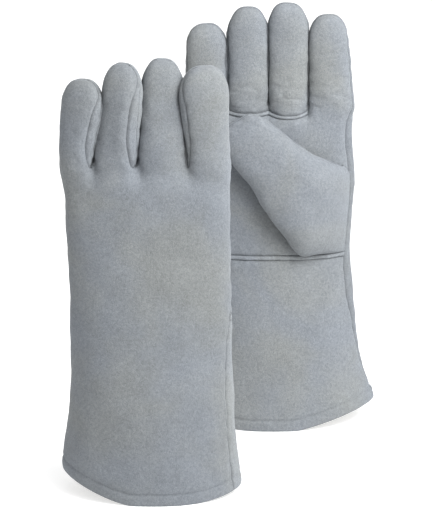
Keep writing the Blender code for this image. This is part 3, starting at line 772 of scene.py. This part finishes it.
    def panel(self, regions, outer_depth, inner_depth, hem_depth=None):
        """One closed piece between two depths under the surface of some regions."""
        chosen = [face for face, region in zip(self.faces, self.region) if region in regions]
        edges = {(face[i], face[(i + 1) % len(face)]) for face in chosen for i in range(len(face))}
        rim = [(a, b) for a, b in edges if (b, a) not in edges]
        used = sorted({index for face in chosen for index in face})
        place = {index: i for i, index in enumerate(used)}
        shift = np.zeros((len(used), 3))
        for a, b in rim:
            if a in self.cut and b in self.cut:
                continue
            along = self.points[b] - self.points[a]
            for index in (a, b):
                across = np.cross(self.normals[index], along)
                shift[place[index]] += across / max(np.linalg.norm(across), TINY)
        length = np.linalg.norm(shift, axis=1)
        shift[length > 0.0] *= (SEAM_GAP / 2.0 / length[length > 0.0])[:, None]
        points, normals = self.points[used], self.normals[used]
        inner = np.clip(self.clearance()[used] * CLEARANCE_SHARE, THINNEST, inner_depth)
        if hem_depth:
            fold = np.clip((HEM_FOLD_HEIGHT - self.cut_distance[used]) / HEM_FOLD_EDGE, 0.0, 1.0)
            inner += (hem_depth - inner_depth) * fold
        layers = [points + shift - normals * outer_depth]
        layers.append(points + shift - normals * inner[:, None])
        count = len(used)
        faces = [tuple(place[i] for i in face) for face in chosen]
        faces += [tuple(place[i] + count for i in reversed(face)) for face in chosen]
        faces += [(place[b], place[a], place[a] + count, place[b] + count) for a, b in rim]
        return np.vstack(layers), faces, np.tile(self.seam_distance[used], 2)


def make_piece(name, made, place, palm_sign, material):
    """A mesh object from a panel, turned from the glove's frame into the CAD's."""
    points, faces, seam = made
    world = points * np.array((1.0, palm_sign, 1.0)) + np.array(place)
    if palm_sign < 0.0:
        faces = [face[::-1] for face in faces]
    mesh = bpy.data.meshes.new(name)
    mesh.from_pydata(world.tolist(), [], faces)
    mesh.attributes.new("seam", "FLOAT", "POINT").data.foreach_set("value", seam.astype(np.float32))
    mesh.polygons.foreach_set("use_smooth", [True] * len(faces))
    mesh.set_sharp_from_angle(angle=math.radians(SHARP_ANGLE))
    mesh.materials.append(material)
    piece = bpy.data.objects.new(name, mesh)
    bpy.context.scene.collection.objects.link(piece)
    return piece


# ---------------------------------------------------------------- materials
# A colour Mix node's sockets.
MIX_FACTOR = 0
MIX_COLOUR_A = 6
MIX_COLOUR_B = 7
MIX_COLOUR_OUT = 2


class Nodes:
    """A short way to write a material's nodes."""

    def __init__(self, name):
        self.material = bpy.data.materials.new(name)
        self.material.use_nodes = True
        self.tree = self.material.node_tree
        self.shader = self.tree.nodes["Principled BSDF"]
        self.place = self.tree.nodes.new("ShaderNodeTexCoord").outputs["Object"]

    def add(self, kind, settings=None, **inputs):
        node = self.tree.nodes.new(kind)
        for name, value in (settings or {}).items():
            setattr(node, name, value)
        for name, value in inputs.items():
            self.put(node, name.replace("_", " "), value)
        return node

    def put(self, node, socket, value):
        if isinstance(value, bpy.types.NodeSocket):
            self.tree.links.new(value, node.inputs[socket])
        else:
            node.inputs[socket].default_value = value

    def noise(self, scale, detail=2.0, roughness=0.5, distortion=0.0):
        return self.add("ShaderNodeTexNoise", Vector=self.place, Scale=scale, Detail=detail,
                        Roughness=roughness, Distortion=distortion).outputs["Fac"]

    def ramp(self, value, low, high):
        return self.add("ShaderNodeMapRange", {"interpolation_type": "SMOOTHSTEP"}, Value=value,
                        From_Min=low, From_Max=high).outputs["Result"]

    def blend(self, factor, a, b, kind="MIX"):
        node = self.tree.nodes.new("ShaderNodeMix")
        node.data_type = "RGBA"
        node.blend_type = kind
        self.put(node, MIX_FACTOR, factor)
        self.put(node, MIX_COLOUR_A, a)
        self.put(node, MIX_COLOUR_B, b)
        return node.outputs[MIX_COLOUR_OUT]

    def tone(self, colour, share, greys):
        """The colour made darker or lighter, between two greys."""
        return self.blend(1.0, colour, self.blend(share, grey(greys[0]), grey(greys[1])), "MULTIPLY")

    def finish(self, colour, bump, values):
        self.put(self.shader, "Normal", bump.outputs["Normal"])
        self.put(self.shader, "Base Color", colour)
        for socket, value in values.items():
            self.put(self.shader, socket, value)

    def math(self, operation, a, b):
        node = self.tree.nodes.new("ShaderNodeMath")
        node.operation = operation
        self.put(node, 0, a)
        self.put(node, 1, b)
        return node.outputs[0]


def grey(value, tint=(1.0, 1.0, 1.0)):
    return (value * tint[0], value * tint[1], value * tint[2], 1.0)


# How light each leather is. The palm side's is painted light: a lighter copy of the back's suede, standing
# in for the brighter light on the rear glove, which shows its palm side.
BACK_VALUE = 0.151
PALM_LIT_VALUE = 0.171
EDGE_VALUE = 0.190
# Each noise is its scale, detail, roughness and distortion, and each span the part of it that is
# stretched from 0 to 1.
BLUISH = (0.905, 0.985, 1.085)
GREENISH = (0.955, 1.005, 1.005)
CLOUD_NOISE, CLOUD_SPAN = (11.0, 3.0, 0.55, 0.4), (0.36, 0.68)
SHADE_NOISE, SHADE_SPAN = (34.0, 4.0, 0.6, 0.4), (0.25, 0.75)
NAP_NOISE, NAP_SPAN = (520.0, 5.0, 0.7, 0.6), (0.30, 0.70)
FIBRE_NOISE, FIBRE_SPAN = (1500.0, 3.0, 0.7, 0.3), (0.25, 0.75)
GREENISH_LIGHTER = 1.02
SHADE_GREYS = (0.94, 1.04)
NAP_GREYS = (0.84, 1.13)
FIBRE_GREYS = (0.82, 1.14)
# Painted shade in the groove along each seam: how dark it is, and how far from the seam it reaches.
SEAM_SHADE_GREYS = (0.74, 1.0)
SEAM_SHADE_WIDTH = 0.0012
PILE_NOISE, PILE_SPAN = (420.0, 4.0, 0.7, 0.5), (0.3, 0.7)
KNIT_NOISE, KNIT_SPAN = (60.0, 3.0, 0.6, 0.3), (0.3, 0.7)
PILE_GREYS = (0.8, 1.08)
CREAM_DARK = (0.62, 0.58, 0.49, 1.0)
CREAM_LIGHT = (0.74, 0.70, 0.61, 1.0)


def suede(name, value):
    """Split leather: a mottled nap over fine fibres, with painted shade where it rolls into a seam."""
    nodes = Nodes(name)
    cloud = nodes.ramp(nodes.noise(*CLOUD_NOISE), *CLOUD_SPAN)
    colour = nodes.blend(cloud, grey(value, BLUISH), grey(value * GREENISH_LIGHTER, GREENISH))
    shade = nodes.ramp(nodes.noise(*SHADE_NOISE), *SHADE_SPAN)
    colour = nodes.tone(colour, shade, SHADE_GREYS)
    nap = nodes.ramp(nodes.noise(*NAP_NOISE), *NAP_SPAN)
    colour = nodes.tone(colour, nap, NAP_GREYS)
    fibre = nodes.noise(*FIBRE_NOISE)
    colour = nodes.tone(colour, nodes.ramp(fibre, *FIBRE_SPAN), FIBRE_GREYS)
    # Painted shade: the suede is darkened in the groove where it rolls into a seam.
    seam = nodes.add("ShaderNodeAttribute", {"attribute_name": "seam"}).outputs["Fac"]
    colour = nodes.tone(colour, nodes.ramp(seam, 0.0, SEAM_SHADE_WIDTH), SEAM_SHADE_GREYS)
    height = nodes.math("ADD", nodes.math("MULTIPLY", nap, 0.6), nodes.math("MULTIPLY", fibre, 0.8))
    nodes.finish(colour, nodes.add("ShaderNodeBump", Strength=0.45, Distance=0.0006, Height=height),
                 {"Roughness": 0.95, "Specular IOR Level": 0.12, "Sheen Weight": 0.15,
                  "Sheen Roughness": 0.55, "Sheen Tint": (0.86, 0.92, 1.0, 1.0)})
    return nodes.material


def fleece(name):
    """The lining: an off-white brushed knit."""
    nodes = Nodes(name)
    pile = nodes.noise(*PILE_NOISE)
    knit = nodes.ramp(nodes.noise(*KNIT_NOISE), *KNIT_SPAN)
    colour = nodes.tone(nodes.blend(knit, CREAM_DARK, CREAM_LIGHT), nodes.ramp(pile, *PILE_SPAN),
                        PILE_GREYS)
    nodes.finish(colour, nodes.add("ShaderNodeBump", Strength=0.7, Distance=0.0012, Height=pile),
                 {"Roughness": 1.0, "Specular IOR Level": 0.1, "Sheen Weight": 0.3})
    return nodes.material


def bend(piece):
    """Bakes the panel's placement into its mesh."""
    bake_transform(piece)


def build_glove(side, numbers, place, palm_sign, seed, materials):
    glove, inner = Glove(*numbers), Glove(*numbers, inset=LINING_DEPTH)
    hand = Surface(glove.skin, seed, hemmed=True)
    hand_lining = Surface(inner.skin, seed)
    thumb = Surface(glove.thumb, seed + THUMB_SEED_STEP)
    thumb_lining = Surface(inner.thumb, seed + THUMB_SEED_STEP)
    plan = [
        (hand, "back", ["back", "back_beyond"], 0.0, "leather", "fingers", ["back", "back_fingers"]),
        (hand, "palm", ["palm", "palm_beyond"], 0.0, "palm_lit_leather", "fingers",
         ["palm", "front_index", "front_little"]),
        (hand, "front_middle", ["front_middle"], 0.0, "palm_lit_leather", "fingers", ["front_middle"]),
        (hand, "finger_welt", ["finger_welt"], -WELT_PROUD, "welt", "fingers", ["finger_welt"]),
        (hand, "cuff_palm_panel", ["cuff_palm_panel"], 0.0, "palm_lit_leather", None, ["cuff_palm_panel"]),
        (hand, "cuff_welt", ["cuff_welt"], -WELT_PROUD, "welt", None, ["cuff_welt"]),
        (thumb, "thumb_wing", ["thumb_wing"], 0.0, "palm_lit_leather", "thumb", ["thumb_root", "thumb_outer"]),
        (thumb, "thumb_inner", ["thumb_inner"], 0.0, "palm_lit_leather", "thumb", ["thumb_inner"]),
        (hand_lining, "lining", ["lining"], 0.0, "lining", "fingers",
         ["lining_cuff", "lining_hand", "lining_fingers"]),
        (thumb_lining, "lining_thumb", ["lining"], 0.0, "lining", "thumb", ["lining_thumb"]),
    ]
    for name in FINGER_NAMES[:3]:
        region = "fourchette_" + name
        plan.append((hand, region, [region], 0.0, "leather", "fingers", [region]))
    for surface, name, regions, proud, finish, part, nodes in plan:
        lined = finish == "lining"
        fold = HEM_FOLD if name in ("back", "cuff_palm_panel") else None
        made = surface.panel(regions, proud, LINING if lined else LEATHER, fold)
        piece = make_piece(f"{side}_{name}_sewn", made, place, palm_sign, materials[finish])
        if part:
            bend(piece)
        else:
            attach(piece, side + "_hand")
        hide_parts(*[f"{side}_{node}" for node in nodes])


# ---------------------------------------------------------------- studio
# Half the floor's side and the height of the pale walls at its edges.
STUDIO_REACH = 30.0
STUDIO_WALL = 6.0
FLOOR_GREY = 0.60
FLOOR_GLOW = 0.60
SKY_STRENGTH = 0.70
WHITE = (1.0, 1.0, 1.0, 1.0)
KEY_FROM = (0.60, -0.58, 0.55)
KEY_ENERGY = 2.3
KEY_WIDTH = 65.0
TOP_AT = (0.35, -0.35, 0.75)
TOP_AIM = (0.02, 0.05, 0.25)
TOP_ENERGY = 9.5
TOP_SIZE = 0.5
CAMERA_AIM = (-0.0042, -0.0020, 0.165)
CAMERA_DISTANCE = 4.8
CAMERA_ELEVATION = 16.5
CAMERA_LENS = 421.0
CAMERA_SENSOR = 36.0
CAMERA_SIGHT = 200.0


def build_sky():
    world = bpy.data.worlds.new("studio")
    world.use_nodes = True
    background = world.node_tree.nodes["Background"]
    background.inputs["Color"].default_value = WHITE
    background.inputs["Strength"].default_value = SKY_STRENGTH
    bpy.context.scene.world = world


def build_floor():
    """A pale floor with low walls far away, which hide its end."""
    mesh = bpy.data.meshes.new("floor")
    corners = [(-1, -1), (1, -1), (1, 1), (-1, 1)]
    points = [(x * STUDIO_REACH, y * STUDIO_REACH, z) for z in (0.0, STUDIO_WALL) for x, y in corners]
    mesh.from_pydata(points, [], [(0, 1, 2, 3), (0, 4, 5, 1), (1, 5, 6, 2), (2, 6, 7, 3), (3, 7, 4, 0)])
    floor = bpy.data.objects.new("floor", mesh)
    bpy.context.scene.collection.objects.link(floor)
    paint = Nodes("floor_paint")
    paint.put(paint.shader, "Base Color", grey(FLOOR_GREY))
    paint.put(paint.shader, "Emission Color", WHITE)
    paint.put(paint.shader, "Emission Strength", FLOOR_GLOW)
    paint.put(paint.shader, "Roughness", 0.9)
    paint.put(paint.shader, "Specular IOR Level", 0.1)
    mesh.materials.append(paint.material)


def add_light(name, kind, energy, direction, place=(0.0, 0.0, 0.0)):
    """A light that shines along a direction."""
    lamp = bpy.data.lights.new(name, kind)
    lamp.energy = energy
    light = bpy.data.objects.new(name, lamp)
    light.location = place
    light.rotation_euler = direction.to_track_quat("-Z", "Y").to_euler()
    bpy.context.scene.collection.objects.link(light)
    return lamp


def build_lights():
    add_light("key", "SUN", KEY_ENERGY, -Vector(KEY_FROM)).angle = math.radians(KEY_WIDTH)
    add_light("top", "AREA", TOP_ENERGY, Vector(TOP_AIM) - Vector(TOP_AT), TOP_AT).size = TOP_SIZE


def build_camera():
    scene = bpy.context.scene
    lens = bpy.data.cameras.new("camera")
    lens.sensor_width = CAMERA_SENSOR
    lens.lens = CAMERA_LENS
    lens.clip_end = CAMERA_SIGHT
    camera = bpy.data.objects.new("camera", lens)
    elevation = math.radians(CAMERA_ELEVATION)
    back = Vector((0.0, -math.cos(elevation), math.sin(elevation)))
    camera.location = Vector(CAMERA_AIM) + back * CAMERA_DISTANCE
    camera.rotation_euler = (-back).to_track_quat("-Z", "Y").to_euler()
    scene.collection.objects.link(camera)
    scene.camera = camera
    scene.view_settings.view_transform = "Standard"


def main():
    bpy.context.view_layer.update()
    # The palm-side pieces get a lighter copy of the suede: painted light for the brighter-lit rear glove.
    materials = {"leather": suede("suede", BACK_VALUE), "palm_lit_leather": suede("suede_palm_lit", PALM_LIT_VALUE),
                 "welt": suede("suede_edge", EDGE_VALUE), "lining": fleece("fleece")}
    left = (LEFT_EDGES, LEFT_CUFF_DEPTHS, LEFT_HEM_RISE, LEFT_WRAPS, LEFT_FINGERS)
    right = (RIGHT_EDGES, RIGHT_CUFF_DEPTHS, RIGHT_HEM_RISE, RIGHT_WRAPS, RIGHT_FINGERS)
    build_glove("left", left, LEFT_PLACE, 1.0, LEFT_SEED, materials)
    build_glove("right", right, RIGHT_PLACE, -1.0, RIGHT_SEED, materials)
    build_sky()
    build_floor()
    build_lights()
    build_camera()


main()
